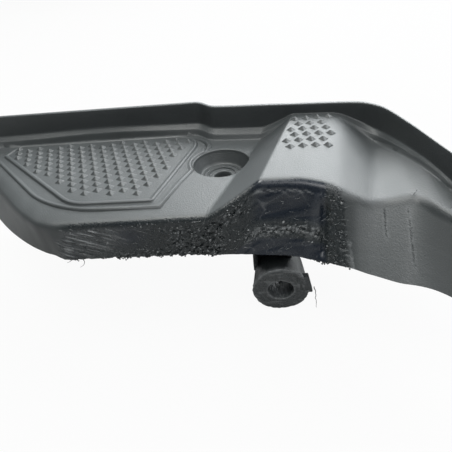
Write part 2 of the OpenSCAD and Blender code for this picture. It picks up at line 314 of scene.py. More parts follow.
def build_mesh(name, points, quads, polygons=()):
    """A mesh in the frame's metres from points in millimetres over the floor."""
    mesh = bpy.data.meshes.new(name)
    loops = np.concatenate([np.ravel(quads), *[np.ravel(p) for p in polygons]]).astype(np.int32)
    totals = np.concatenate([np.full(len(quads), 4), [len(p) for p in polygons]]).astype(np.int32)
    starts = np.concatenate([[0], np.cumsum(totals)[:-1]]).astype(np.int32)
    mesh.vertices.add(len(points))
    mesh.vertices.foreach_set("co", ((points + (0, 0, FLOOR_UP)) * MM).astype(np.float32).ravel())
    mesh.loops.add(len(loops))
    mesh.loops.foreach_set("vertex_index", loops)
    mesh.polygons.add(len(totals))
    mesh.polygons.foreach_set("loop_start", starts)
    mesh.update(calc_edges=True)
    mesh.validate()
    return mesh


def add_marks(mesh, marks):
    """Keeps each point's wear, paleness and melting, for the material. On the lower half of the skirt's rounded
    edge the wear value also paints shade.
    """
    for name, values in zip(("wear", "pale", "melted"), marks):
        kept = mesh.attributes.new(name, "FLOAT", "POINT")
        kept.data.foreach_set("value", np.ascontiguousarray(values, np.float32))


def add_piece(mesh, sharp):
    """A shown piece of the shared plastic, whose edges are sharp above the given angle. It rides on the one
    body and takes the scene's floorboard finish."""
    mesh.polygons.foreach_set("use_smooth", np.ones(len(mesh.polygons), bool))
    mesh.set_sharp_from_angle(angle=math.radians(sharp))
    mesh.materials.append(shared_plastic())
    piece = bpy.data.objects.new(mesh.name, mesh)
    bpy.context.scene.collection.objects.link(piece)
    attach(piece, "root")
    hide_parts("floorboard")


def rounded_outline(points, radii, steps):
    """A closed outline whose corners are turned into arcs of the given radii."""
    points, radii = np.asarray(points, float), np.asarray(radii, float)
    a, b = np.roll(points, 1, 0) - points, np.roll(points, -1, 0) - points
    ua, ub = a / np.linalg.norm(a, axis=1)[:, None], b / np.linalg.norm(b, axis=1)[:, None]
    half = np.arccos(np.sum(ua * ub, axis=1)) / 2
    middle = ua + ub
    centre = points + middle / np.linalg.norm(middle, axis=1)[:, None] * (radii / np.sin(half))[:, None]
    start = points + ua * (radii / np.tan(half))[:, None] - centre
    stop = points + ub * (radii / np.tan(half))[:, None] - centre
    begin = np.arctan2(start[:, 1], start[:, 0])
    turn = (np.arctan2(stop[:, 1], stop[:, 0]) - begin + math.pi) % (2 * math.pi) - math.pi
    angle = begin[:, None] + turn[:, None] * np.linspace(0, 1, steps)
    arcs = centre[:, None] + radii[:, None, None] * np.stack([np.cos(angle), np.sin(angle)], axis=-1)
    return arcs.reshape(-1, 2)


def inset_outline(outline, inset):
    """The outline moved inwards by inset, each point along its mitre: the sum
    of the two edges' normals over one plus their product."""
    x, y = outline.T
    area = np.sum(x * np.roll(y, -1) - y * np.roll(x, -1))
    before, after = outline - np.roll(outline, 1, 0), np.roll(outline, -1, 0) - outline
    normals = [np.sign(area) * np.stack([-e[:, 1], e[:, 0]], axis=1) / np.linalg.norm(e, axis=1)[:, None]
               for e in (before, after)]
    mitre = (normals[0] + normals[1]) / (1 + np.sum(normals[0] * normals[1], axis=1))[:, None]
    return outline + inset * mitre


def plate(outline, profile, place):
    """Rings of outline(inset), each inset and raised as the profile says, set
    in space by place, with both ends closed by one face."""
    rings = np.array([np.insert(outline(inset), 2, height, axis=1) for inset, height in profile])
    count = rings.shape[1]
    ends = [np.arange(count)[::-1], (len(profile) - 1) * count + np.arange(count)]
    return place(rings.reshape(-1, 3)), grid_quads(len(profile), count, around=True)[:, ::-1], ends


def outward(mesh):
    """Closed faces turned to point outwards, and doubled points merged."""
    work = bmesh.new()
    work.from_mesh(mesh)
    bmesh.ops.remove_doubles(work, verts=work.verts, dist=1e-6)
    bmesh.ops.recalc_face_normals(work, faces=work.faces)
    work.to_mesh(mesh)
    work.free()
    return mesh


def add_plate(name, outline, profile, place=lambda points: points, sharp=35):
    """A piece made of one plate with the given outline, a function of inset."""
    add_piece(outward(build_mesh(name, *plate(outline, profile, place))), sharp)


# The scraped skirt

def cells(x, y, size, seed):
    """Crumbs: for each point the distance to the nearest of a jittered
    lattice's seeds, in cells, and that seed's random value from 0 to 1."""
    rng = np.random.default_rng(seed)
    jitter_x, jitter_y, value = rng.uniform(0, 1, (3, LATTICE, LATTICE))
    gx, gy = x / size, y / size
    ix, iy = np.floor(gx).astype(int), np.floor(gy).astype(int)
    nearest, own = np.full(gx.shape, 9.0), np.zeros(gx.shape)
    for step_x in (-1, 0, 1):
        for step_y in (-1, 0, 1):
            kx, ky = ix + step_x, iy + step_y
            at = kx % LATTICE, ky % LATTICE
            away = np.hypot(kx + jitter_x[at] - gx, ky + jitter_y[at] - gy)
            own = np.where(away < nearest, value[at], own)
            nearest = np.minimum(nearest, away)
    return nearest, own


def rash_field(x, low):
    """The scraped skirt at x along the board and depth low below its edge: how much of the dark scraped colour
    it takes, which is wear on the skirt and painted shade on the lower half of the rounded edge, how far it
    stands out in units of the rash depth, how pale its torn tips are and how smoothly melted it is, all but the
    second 0 to 1.

    Diagonal scores lie on the left, a smooth patch and crumbs in the middle,
    a melted hollow under the step with a band of flakes below it, then an
    upright ridge, a deep gouge and a torn right border. Beyond it the skirt is
    lightly scuffed, with two upright streaks and a few specks."""
    # where the scraping ends: to the right, to the left and at the edge, where the dark colour reaches up onto
    # the rounded edge as painted shade
    border = 52.4 + low * 0.17 + 0.9 * noise(x, low, 3, 2.4, 11) + 0.5 * noise(x, low, 1.1, 0.9, 10)
    inside = step_up(border - x, -0.7, 0.3)
    wear_and_edge_shade = step_up(x + 2.5 * noise(x, low, 6, 5, 12) + low * 0.25, -73, -66) * step_up(border - x, 0, 0.7)
    wear_and_edge_shade = wear_and_edge_shade * step_up(low + 0.08 * noise(x, low, 5, 4, 13), 0.04, 0.3)
    # painted shade: from the edge down to about 2.2 mm, over the rounded edge, this mask takes away the pale
    # tips and most relief, so the dark colour there paints the rounded edge's shade
    below_painted_edge_shade = step_up(low + 0.6 * noise(x, low, 5, 4, 23), 2.2, 4.4)

    # patterns: diagonal lines, crumbs with pits, and the flow of melted plastic
    slant, along = low - 0.42 * x, x + 0.42 * low
    scores = noise(slant, along, 0.7, 13, 14) + 0.6 * noise(slant, along, 0.4, 7, 15)
    streaks = noise(slant * 1.1 + 3, along, 0.62, 9, 24) + 0.35 * noise(slant, along, 2.5, 5, 25)
    near, own = cells(x + 0.5 * noise(x, low, 1.5, 1.5, 16), low, 1.05, 17)
    fine_near, fine_own = cells(x, low, 0.7, 18)
    crumbs = (own * 2.4 - 1.1) * (1 - near * near) + 0.6 * (fine_own - 0.5) * (1 - fine_near)
    pits = step_up(0.24 - own, 0, 0.1) * -0.9
    flecks = step_up(fine_own, 0.86, 0.95) * (1 - step_up(fine_near, 0.3, 0.6))
    wander = x + 2.2 * noise(x, low, 7, 6, 20)
    swirl = noise(wander * 0.3 + low, wander, 1.7, 12, 21)
    arcs = 1 - np.abs(noise(wander * 0.45 + low * 0.7, wander - low, 3.6, 9, 22)) * 14

    # zones of the skirt, 1 inside and 0 outside
    left = 1 - step_up(x, -50, -38)
    patch = bump(x, -39, 6.5) * bump(low, 8, 6)
    middle = step_up(x, -31, -15) * (1 - step_up(x, -2, 5)) * (0.35 + 0.65 * step_up(low, 3, 8))
    flank = step_up(x, -4, 2) * (1 - step_up(x, 12, 17)) * bump(low, 7, 4.5)
    band = step_up(x, 9, 13) * (1 - step_up(x, 43, 46)) * bump(low + 0.08 * (x - 28), 22, 2.6)
    bottom = step_up(x, -54, -46) * (1 - step_up(x, -6, 2)) * step_up(low, 14, 19)
    torn = step_up(x, 46.2, 47.4) * inside
    crumbly = np.clip((middle + flank * 0.9) * (1 - patch) + 0.9 * band + 0.7 * bottom + 0.5 * torn, 0, 1.2)
    under_step = 1 - step_up(x, 45, 47)
    melted = np.clip(step_up(x, 13, 20) * under_step * (1 - step_up(low, 15, 20)) + patch
                     + step_up(x, 2, 8) * under_step * step_up(low, 24.5, 27), 0, 1)
    gouge = bump(x + 0.03 * low, 46.0, 1.5) * step_up(low, 5, 11) * step_up(33 - low, 0, 5)
    ridge = bump(x - 0.13 * (16 - low), 41.4, 1.7) * step_up(low, 3, 8) * (1 - 0.6 * step_up(low, 20, 26))
    hollow = bump(x, 29, 12) * bump(low, 12, 6.5)

    # relief and pale tips of the scraped part
    out = (left * (0.85 * scores + 0.25 * crumbs) + crumbly * (0.95 * crumbs + pits)
           + (0.22 + 0.2 * melted) * swirl - 4.2 * gouge + 1.8 * ridge - 1.6 * hollow)
    light_lines = 0.2 * step_up(arcs, 0.3, 0.95) + 0.5 * bump(low, 4.4, 0.7) * step_up(scores, 0.1, 0.5)
    pale = (left * (1.1 * step_up(streaks, 0.42, 0.8) + 0.18) * (1 - 0.5 * step_up(low, 9, 15))
            + crumbly * (0.9 - 0.45 * torn) * (flecks + 0.15 * step_up(own, 0.6, 0.9) * (1 - near))
            + 0.5 * band * step_up(own, 0.45, 0.8) * (1 - near) + 0.08 * ridge
            + melted * (1 - patch) * light_lines)

    # beyond the border: two dark streaks and a few specks on scuffed plastic
    streaked = (bump(x - 0.02 * low, 69.2, 0.75) * step_up(low, 1.5, 4) * (1 - step_up(low, 13, 18))
                + bump(x - 0.03 * low, 77.6, 0.6) * step_up(low, 3, 6) * (1 - step_up(low, 24, 32)))
    streaked = streaked * step_up(noise(x, low, 1, 2.6, 26), -1.0, -0.1)
    specks = step_up(x, 58, 64) * step_up(fine_own, 0.95, 0.98) * (1 - step_up(fine_near, 0.2, 0.5))
    scuffed = step_up(x, 53, 60) * (1 - np.clip(streaked + specks, 0, 1))
    wear_and_edge_shade = np.maximum(wear_and_edge_shade, streaked + 0.6 * specks + 0.2 * scuffed)
    pale = np.maximum(pale * inside, 0.85 * scuffed)
    return np.clip(wear_and_edge_shade, 0, 1), out * (0.12 + 0.88 * below_painted_edge_shade), np.clip(pale, 0, 1) * below_painted_edge_shade, melted


def skirt_points(sizes, u, share):
    """Points on the skirt at places u and shares of its height, 0 at the
    bottom and 1 at the top, and the outward normals there."""
    rows = rows_at(sizes, u)
    deep, top = sizes.skirt_depth / MM, floor_height(rows, 0, sizes.step_height / MM)
    d, z = -rows[..., 4] * (1 - share), -deep + (top + deep) * share
    fall = np.hypot(rows[..., 4], top + deep)
    at = stand(rows, d, z)
    return at, stand(rows, d - (top + deep) / fall, z + rows[..., 4] / fall) - at


def front_places(sizes, x):
    """Places u at which the front edge stands at x."""
    u = np.linspace(0, len(section_table(sizes)) - 1, 4000)
    return np.interp(x, rows_at(sizes, u)[:, 0], u)


def board_columns(sizes, count):
    """Places u of the grid's columns: spread so that their spacing along the
    front edge is even, and three times finer where the skirt is scraped."""
    u = np.linspace(0, len(section_table(sizes)) - 1, 6000)
    rows = rows_at(sizes, u)
    front = stand(rows, 0, floor_height(rows, 0, sizes.step_height / MM))
    run = np.linalg.norm(np.diff(front, axis=0), axis=1)
    middle = (front[1:, 0] + front[:-1, 0]) / 2
    weight = run * (1 + 2.4 * step_up(middle, -92, -80) * (1 - step_up(middle, 80, 88)))
    total = np.concatenate([[0], np.cumsum(weight)])
    return np.interp(np.linspace(0, total[-1], count), total, u)


def skin_grid(sizes, u):
    """Outer skin as a grid: straight skirt, rounded edge, floor, concave foot,
    wall, rounded lip and the wall's back, with the rash on skirt and edge."""
    rows = rows_at(sizes, u)[:, None, :]
    step, deep = sizes.step_height / MM, sizes.skirt_depth / MM
    thick, high, lip = sizes.wall_thickness / MM, sizes.wall_top / MM, 0.9
    length, lean, top = reach(rows), rows[..., 4], floor_height(rows, 0, step)
    r, foot = np.minimum(sizes.edge_round / MM, length * 0.25), np.minimum(0.8, length * 0.05)
    fall = np.hypot(lean, top + deep)
    back = length + thick
    z_of = lambda d: floor_height(rows, d, step)
    low = z_of(length)
    share = lambda count: np.linspace(0, 1, count)[None]
    after = lambda count: share(count)[:, 1:]
    edge_d, edge_z = -lean * r / fall, top - (top + deep) * r / fall
    flat = r + (length - foot - r) * np.append(np.linspace(0, 0.92, 24)[1:], np.linspace(0.92, 1, 26)[1:])
    on_skirt = 60
    parts = [
        (-lean + (edge_d + lean) * share(on_skirt), -deep + (edge_z + deep) * share(on_skirt)),
        (bezier(edge_d, 0, r, after(9)), bezier(edge_z, top, z_of(r), after(9))),
        (flat, z_of(flat)),
        (bezier(length - foot, length, length, after(7)),
         bezier(z_of(length - foot), low, low + foot, after(7))),
        (length + 0 * after(5), low + foot + (high - lip - low - foot) * after(5)),
        (bezier(length, length, length + lip, after(5)), bezier(high - lip, high, high, after(5))),
        (bezier(back - lip, back, back, share(5)), bezier(high, high, high - lip, share(5))),
        (back + 0 * after(6), high - lip - (high - lip + deep) * after(6)),
    ]
    whole = lambda part, axis: np.broadcast_to(part[axis], (len(u), np.broadcast(*part).shape[1]))
    d, z = (np.concatenate([whole(part, axis) for part in parts], axis=1) for axis in (0, 1))
    points = stand(rows, d, z)
    # rash: pushed along the skirt's normal, fading over the rounded edge, whose lower half keeps the dark
    # scraped colour as painted shade
    scraped = on_skirt + 6
    column = np.arange(scraped)[None]
    fade = 1 - step_up(column, scraped - 2, scraped)
    low_down = (top - z[:, :scraped]) * fall / (top + deep)
    wear_and_edge_shade, out, pale, melted = rash_field(points[:, :scraped, 0], low_down)
    wear_and_edge_shade = wear_and_edge_shade * fade
    push = wear_and_edge_shade * out * bpy.context.scene.floorboard_finish.rash_depth / MM
    beyond = stand(rows, d[:, :scraped] - (top + deep) / fall, z[:, :scraped] + lean / fall)
    points[:, :scraped] += (beyond - points[:, :scraped]) * push[..., None]
    marks = np.zeros((3, *d.shape))
    marks[:, :, :scraped] = wear_and_edge_shade, pale, melted * wear_and_edge_shade
    return points, marks


def hollow_grid(sizes, u):
    """The hollow under the skin, one wall thickness inside it."""
    rows = rows_at(sizes, u)[:, None, :]
    step, deep, thick = sizes.step_height / MM, sizes.skirt_depth / MM, sizes.wall_thickness / MM
    length, lean, top = reach(rows), rows[..., 4], floor_height(rows, 0, step)
    tilt = lean / (top + deep)
    across = thick * np.sqrt(1 + tilt * tilt)
    front = across - tilt * thick
    t = np.linspace(0, 1, 24)[None]
    flat = front + (length - front) * t
    share = np.array([[0, 0.5]])
    z_top = floor_height(rows, front, step) - thick
    d = np.concatenate([across - lean * (1 - share) + (front - across) * share, flat, length], axis=1)
    z = np.concatenate([-deep + (z_top + deep) * share, floor_height(rows, flat, step) - thick,
                        np.full(length.shape, -deep)], axis=1)
    return stand(rows, d, z)


def shell_mesh(sizes):
    """The whole moulded shell as one closed surface: skin, hollow, rim, end
    walls, and the bolt well let into the floor ring by ring."""
    u = board_columns(sizes, COLUMNS)
    last, end_wall = len(section_table(sizes)) - 1, 0.19
    inner_u = end_wall + (last - 2 * end_wall) * u / last
    skin, marks = skin_grid(sizes, u)
    hollow = hollow_grid(sizes, inner_u)
    n, m, k = len(u), skin.shape[1], hollow.shape[1]
    base = n * m
    angle = np.linspace(0, 2 * math.pi, WELL_STEPS, endpoint=False)
    ring = lambda r: (r * np.cos(angle), r * np.sin(angle))
    top = lambda x, y: floor_over(sizes, x, y)
    ceiling = lambda x, y: floor_over(sizes, x, y) - sizes.wall_thickness / MM
    rim_z = top(*ring(WELL_RIM[0][0]))
    rings = [np.column_stack([*ring(r), rim_z - drop]) for r, drop in WELL_RIM]
    rings += [np.column_stack([*ring(r), np.full(WELL_STEPS, z)])
              for r, z in WELL_WALL + WELL_SEAT + WELL_UNDER]
    rings[-1][:, 2] = ceiling(*ring(WELL_UNDER[-1][0]))
    points = np.concatenate([skin.reshape(-1, 3), hollow.reshape(-1, 3), *rings])
    outer = round_hole(points, grid_quads(n, m), FLOOR_HOLE, top)
    inner = round_hole(points, grid_quads(n, k, base)[:, ::-1], CEILING_HOLE, ceiling)
    i = np.arange(n - 1)
    a, b = i * m, base + i * k
    front = np.stack([a, b, b + k, a + m], axis=1)
    back = np.stack([a + m - 1, a + 2 * m - 1, b + 2 * k - 1, b + k - 1], axis=1)
    sides = grid_quads(len(rings), WELL_STEPS, base + n * k, around=True)[:, ::-1]
    end, inner_end = (n - 1) * m, base + (n - 1) * k
    polygons = [np.arange(m), end + np.arange(m)[::-1], base + np.arange(k)[::-1], inner_end + np.arange(k),
                [0, m - 1, base + k - 1, base], [end + m - 1, end, inner_end, inner_end + k - 1]]
    mesh = build_mesh("board_shell", points, np.concatenate([outer, inner, front, back, sides]), polygons)
    add_marks(mesh, np.concatenate([marks.reshape(3, -1), np.zeros((3, len(points) - base))], axis=1))
    join_well(mesh, base, base + n * k, len(rings))
    return mesh


def round_hole(points, quads, radius, height):
    """Opens a round hole about the bolt's axis: drops the faces that reach into
    it, and draws the points left round it in to the circle, at height(x, y)."""
    distance = np.hypot(points[:, 0], points[:, 1])
    kept = np.min(distance[quads], axis=1) > radius
    edge = np.intersect1d(quads[kept], quads[~kept])
    points[edge, :2] *= (radius / distance[edge])[:, None]
    points[edge, 2] = height(points[edge, 0], points[edge, 1])
    return quads[kept]


def join_well(mesh, hollow_start, well_start, rings):
    """Bridges the well's first ring to the hole in the floor, and its last one
    to the hole in the hollow's ceiling, then turns all faces outwards."""
    work = bmesh.new()
    work.from_mesh(mesh)
    open_edges = [e for e in work.edges if e.is_boundary]
    first = [e for e in open_edges if well_start <= e.verts[0].index < well_start + WELL_STEPS]
    final = [e for e in open_edges if e.verts[0].index >= well_start + (rings - 1) * WELL_STEPS]
    floor_hole = [e for e in open_edges if max(v.index for v in e.verts) < hollow_start]
    ceiling = [e for e in open_edges if hollow_start <= e.verts[0].index < well_start]
    bmesh.ops.bridge_loops(work, edges=first + floor_hole)
    bmesh.ops.bridge_loops(work, edges=final + ceiling)
    loose = [v for v in work.verts if not v.link_faces]
    bmesh.ops.delete(work, geom=loose, context="VERTS")
    bmesh.ops.recalc_face_normals(work, faces=work.faces)
    work.to_mesh(mesh)
    work.free()


# Tread

def pad_outline(inset):
    """The pad's leaning trapezium, whose left end is cut off short. Its
    corners' arcs keep their centres as it shrinks, down to a small radius."""
    taper = lambda y: (71.7 + 0.743 * y) / -0.669
    side = lambda y: -19.2 + 0.274 * y
    back, front = 33.4, -34.9
    corners = np.array([(taper(20), 20), (-126.5, back), (side(back), back),
                        (side(front), front), (taper(front), front)])
    radii = np.array([1.5, 6, 14, 2, 22])
    return rounded_outline(inset_outline(corners, inset), np.maximum(radii - inset, 0.4), 12)


def margin_outline(inset):
    """The plain margin round the pad, which ends along the well's rim."""
    corners = np.array([(-153, 36.2), (-77.1, -38.6), (-24.6, -38.6)])
    steps = 16
    bend = rounded_outline(corners, [3, 60, 0.5], steps)[:2 * steps]
    angle = np.radians(np.linspace(208, 131, 12))
    rim = FLOOR_HOLE * np.column_stack([np.cos(angle), np.sin(angle)])
    return inset_outline(np.concatenate([bend, corners[2:], [(-17.9, -17.5)], rim, KERB, [(-34, 35.6)]]), inset)


def kerb(sizes):
    """The low kerb between the margin's top right corner and the well: a steep
    face on the margin's side, and a back that falls gently to the floor."""
    path = np.array([(-10.0, 11.3), *KERB[:6]])
    along = np.gradient(path, axis=0)
    along /= np.linalg.norm(along, axis=1)[:, None]
    out = np.column_stack([along[:, 1], -along[:, 0]])
    wide = np.array([0.6, 1.6, 3.8, 5, 5.5, 5, 4.5])
    high = np.array([0.35, 0.8, 1.3, 1.6, 1.5, 0.8, 0.05])
    profile = [(-0.05, -0.9), (0, 0.02), (0.26, 0.92), (0.31, 1),
               (0.42, 0.88), (0.7, 0.3), (1, -0.25), (1, -0.9)]
    rings = []
    for share, rise in profile:
        plan = path + out * (wide * share)[:, None]
        raised = floor_over(sizes, *plan.T) + np.where(rise > 0, high * rise, rise)
        rings.append(np.column_stack([plan, raised]))
    n = len(profile)
    ends = [np.arange(n), (len(path) - 1) * n + np.arange(n)[::-1]]
    return np.stack(rings, axis=1).reshape(-1, 3), grid_quads(len(path), n, around=True), ends


def stud_lattice():
    """Plan points of the pad's studs: a square lattice turned by PAD_TURN,
    kept clear of each edge of the pad."""
    i, j = np.meshgrid(np.arange(21), np.arange(21) + 0.5, indexing="ij")
    x = -132.1 + STUD_PITCH * (np.cos(PAD_TURN) * i + np.sin(PAD_TURN) * j)
    y = 33.8 + STUD_PITCH * (np.sin(PAD_TURN) * i - np.cos(PAD_TURN) * j)
    inside = (np.abs(y) < 28) & (x > -127) & (x < -26.064 + 0.274 * y) & (-0.632 * x - 0.775 * y < 63.6)
    return np.column_stack([x[inside], y[inside]])


def step_lattice():
    """Plan points of the step's studs: six rows, every second one shifted."""
    row, i = np.meshgrid(np.arange(6), np.arange(4), indexing="ij")
    along = i + (row % 2) / 2
    x = 39.2 + STUD_PITCH * (-0.262 * row + 0.974 * along)
    y = 19.8 + STUD_PITCH * (-1.038 * row + 0.06 * along)
    kept = (row != 1) | (i < 3)
    return np.column_stack([x[kept], y[kept]])


def studs(sizes, centres, base, turn, seed):
    """Low pyramids with blunt edges and rubbed-down tips: five rings of eight points, two to a corner, each
    ring smaller and higher than the last. A ring's three numbers are its size, its height and how far its
    corners are cut."""
    rings = [(1.12, -0.25, 0.10), (1.0, 0.03, 0.12), (0.56, 0.45, 0.16), (0.17, 0.90, 0.45), (0.07, 0.94, 0.6)]
    half, high, n = sizes.stud_size / MM / 2, sizes.stud_height / MM, 8
    corner, spread = np.repeat(np.arange(4) * math.pi / 2 + turn, 2), np.tile([-1, 1], 4)
    wear = 1 - np.random.default_rng(seed).uniform(0, 0.16, len(centres))
    points = []
    for size, rise, blunt in rings:
        angle = corner + spread * blunt
        plan = centres[:, None] + half * size * np.column_stack([np.cos(angle), np.sin(angle)])
        z = np.broadcast_to((base + high * rise * wear)[:, None, None], (len(centres), n, 1))
        points.append(np.concatenate([plan, z], axis=2))
    caps = [np.arange(n) + n * (len(rings) - 1), np.arange(n)[::-1]]
    faces = copies(grid_quads(len(rings), n, around=True)[:, ::-1], caps, len(centres), n * len(rings))
    return np.stack(points, axis=1).reshape(-1, 3), *faces


# Fixing tube

def tube_grid(sizes):
    """The tube as one closed grid carried around its axis: outside, rough
    broken end face, bore and back, in polar form with noise on the radius."""
    outer, bore = sizes.tube_radius / MM, sizes.bore_radius / MM
    angle = np.linspace(0, 2 * math.pi, TUBE_STEPS, endpoint=False)
    shoulder, end = TUBE_FRONT + 0.5, TUBE_BACK + PLATE_THICKNESS
    outside = [(outer - 1.3 * t, shoulder + (TUBE_BACK - shoulder) * t) for t in np.linspace(1, 0, 16)]
    lip = [(outer - 0.05, TUBE_FRONT + 0.22), (outer - 0.3, TUBE_FRONT + 0.04)]
    face = [(outer - 0.6 - (outer - bore - 0.9) * t, TUBE_FRONT) for t in np.linspace(0, 1, 22)]
    inside = [(bore + 0.1, TUBE_FRONT + 0.15), (bore, shoulder)]
    inside += [(bore, shoulder + (end - shoulder) * t) for t in np.linspace(0.1, 1, 12)]
    profile = np.array(outside + lip + face + inside + [(outer - 1.5, end)])
    n = len(profile)
    r, y = (np.repeat(column[:, None], TUBE_STEPS, axis=1) for column in profile.T)
    x_flat, z_flat = r * np.cos(angle), r * np.sin(angle)
    near_face = step_up(-y, -TUBE_FRONT - 4, -TUBE_FRONT)
    rough = noise(x_flat, z_flat, 1.3, 1.3, 31) * 0.5 + noise(x_flat, z_flat, 0.6, 0.6, 32) * 0.3
    sweep = noise(np.hypot(x_flat, z_flat), np.broadcast_to(angle, r.shape) * 4, 1.1, 3, 33)
    y = y - near_face * (r > bore + 0.2) * (0.18 * rough + 0.22 * sweep + 0.05)
    edge = bump(r, outer, 1.2) * near_face
    r = r + edge * (0.28 * noise(angle * 9 + 0 * r, y, 1, 2.5, 34) + 0.12) \
        + 0.05 * noise(angle * 22 + 0 * r, y, 1, 1.5, 35) * (r > bore + 1)
    r = r + bump(r, bore, 0.8) * 0.22 * noise(angle * 7 + 0 * r, y, 1, 3, 36)
    across, up = r * np.cos(angle), r * np.sin(angle)
    scrape = step_up(noise(across + up * 0.4, up, 3.5, 1.0, 37), 0.1, 0.7)
    pale = near_face * (0.12 + 0.2 * scrape + 0.3 * bump(r, outer, 0.5) + 0.2 * bump(r, bore + 0.4, 0.5))
    marks = np.stack([0.45 + 0.5 * near_face, pale, 0 * r])
    points = np.stack([TUBE_X + across, y, TUBE_Z + up], axis=-1)
    i, final = np.arange(TUBE_STEPS), (n - 1) * TUBE_STEPS
    close = np.stack([final + i, i, (i + 1) % TUBE_STEPS, final + (i + 1) % TUBE_STEPS], axis=1)
    quads = np.concatenate([grid_quads(n, TUBE_STEPS, around=True), close])
    return points.reshape(-1, 3), quads, marks.reshape(3, -1)


def rib_outline(sizes, x):
    """Side view of a rib in (y, z): its top follows the floor's underside, and
    its bottom slopes from the skirt down to the tube's axis."""
    y = np.linspace(-38.5, -11, 12)
    top = floor_over(sizes, np.full(12, x), y) - sizes.wall_thickness / MM * 0.6
    bottom = [(-11, -21), (-28, TUBE_Z), (-34, TUBE_Z), (-37, TUBE_Z + 7.4)]
    return np.concatenate([np.column_stack([y, top]), bottom])


# Scraps

def scattered_flakes(sizes, finish):
    """Small torn chips that stand on the scraped skirt: eight-sided lumps of
    random size and turn, half sunk, thickest where the skirt is crumbly."""
    rng = np.random.default_rng(41)
    tries = finish.flakes * 4
    x, share = rng.uniform(-78, 56, tries), rng.uniform(0.02, 0.93, tries)
    at, normal = skirt_points(sizes, front_places(sizes, x), share)
    step = np.clip(floor_over(sizes, x, np.full(tries, -38.0)), 0, sizes.step_height / MM)
    low = (1 - share) * (sizes.skirt_depth / MM + step)
    wear_and_edge_shade, _, _, melted = rash_field(at[:, 0], low)
    middle = step_up(at[:, 0], -48, -30) * (1 - step_up(at[:, 0], 9, 16))
    crowd = (0.12 + 0.6 * middle + 1.6 * bump(low, 22, 3) * step_up(at[:, 0], 8, 14)
             + 0.25 * bump(at[:, 0], 51, 4))
    chance = wear_and_edge_shade * (1 - 0.93 * melted) * crowd
    keep = np.flatnonzero(rng.random(tries) < chance)[:finish.flakes]
    at, normal, count = at[keep], normal[keep], len(keep)
    size = rng.gamma(2.2, 0.11, count)[:, None] * rng.uniform((0.6, 0.6, 0.35), (1.9, 1.2, 1.0), (count, 3))
    axis = rng.normal(size=(count, 4))
    axis /= np.linalg.norm(axis, axis=1)[:, None]
    w, a, b, c = axis.T
    turn = np.stack([1 - 2 * (b * b + c * c), 2 * (a * b - c * w), 2 * (a * c + b * w),
                     2 * (a * b + c * w), 1 - 2 * (a * a + c * c), 2 * (b * c - a * w),
                     2 * (a * c - b * w), 2 * (b * c + a * w), 1 - 2 * (a * a + b * b)], axis=1)
    lumps = LUMP * size[:, None] * rng.uniform(0.6, 1.2, (count, len(LUMP), 1))
    local = lumps @ turn.reshape(-1, 3, 3).transpose(0, 2, 1)
    points = at[:, None] + normal[:, None] * 0.12 + local
    shade = np.repeat(np.where(rng.random(count) < 0.3, rng.uniform(0.4, 1.0, count), 0.08), len(LUMP))
    return points.reshape(-1, 3), shade


def strands(paths, radius):
    """Thin threads: each path (count, steps, 3) is a three-sided tube whose
    radius narrows to a third at its tip."""
    count, steps, _ = paths.shape
    along = np.gradient(paths, axis=1)
    along /= np.linalg.norm(along, axis=2)[..., None]
    side = np.cross(along, np.array([0.3, 0.2, 0.93]))
    side /= np.linalg.norm(side, axis=2)[..., None]
    over = np.cross(along, side)
    angle = np.arange(3) * 2 * math.pi / 3
    size = np.asarray(radius).reshape(-1, 1, 1, 1) * np.linspace(1, 0.35, steps)[None, :, None, None]
    ring = side[:, :, None] * np.cos(angle)[:, None] + over[:, :, None] * np.sin(angle)[:, None]
    points = paths[:, :, None] + ring * size
    caps = [np.arange(3), (steps - 1) * 3 + np.arange(3)[::-1]]
    return points.reshape(-1, 3), *copies(grid_quads(steps, 3, around=True), caps, count, steps * 3)


def loose_fibres(sizes, finish):
    """Hair-thin strands raised from the scraped skirt: each leaves along the
    skirt, lifts off it by a sine and bends down a little."""
    rng, count = np.random.default_rng(43), finish.fibres
    x, share = rng.uniform(-74, 54, count), rng.uniform(0.06, 0.92, count)
    at, normal = skirt_points(sizes, front_places(sizes, x), share)
    heading = rng.normal(0.0, 0.6, count) + np.where(x < -30, -0.5, 0.2)
    length = rng.gamma(3, 0.75, count)[:, None, None]
    t = np.linspace(0, 1, 7)[None, :, None]
    along = np.column_stack([np.cos(heading), np.zeros(count), np.sin(heading)])[:, None]
    curl = rng.normal(0, 0.5, (count, 1, 1)) * np.array([0, 0, 1.0])
    lift = normal[:, None] * (0.10 + rng.uniform(0.0, 0.35, (count, 1, 1)) * np.sin(t * 2.6))
    paths = at[:, None] + along * t * length + lift + curl * t * t * length
    return strands(paths, rng.uniform(0.05, 0.11, count))


def edge_burrs(sizes):
    """Crumbs hanging from the skirt's bottom edge: lumps scattered in a small
    cloud below each burr's place, packed and joined by overlap."""
    rng = np.random.default_rng(47)
    place, size = (np.repeat([burr[k] for burr in BURRS], [burr[2] for burr in BURRS]) for k in (0, 1))
    count = len(place)
    at, _ = skirt_points(sizes, front_places(sizes, place + rng.normal(0, 0.75, count) * size), np.zeros(count))
    fall = np.abs(rng.normal(0, 0.5, count)) * size
    at = at + np.column_stack([np.zeros(count), rng.uniform(0, 1.2, count), 0.15 - fall])
    shape = rng.uniform(0.2, 0.62, (count, 1, 3)) * (0.7 + 0.3 * size[:, None, None])
    points = at[:, None] + LUMP * shape * rng.uniform(0.7, 1.2, (count, len(LUMP), 1))
    return points.reshape(-1, 3), np.zeros(count * len(LUMP))


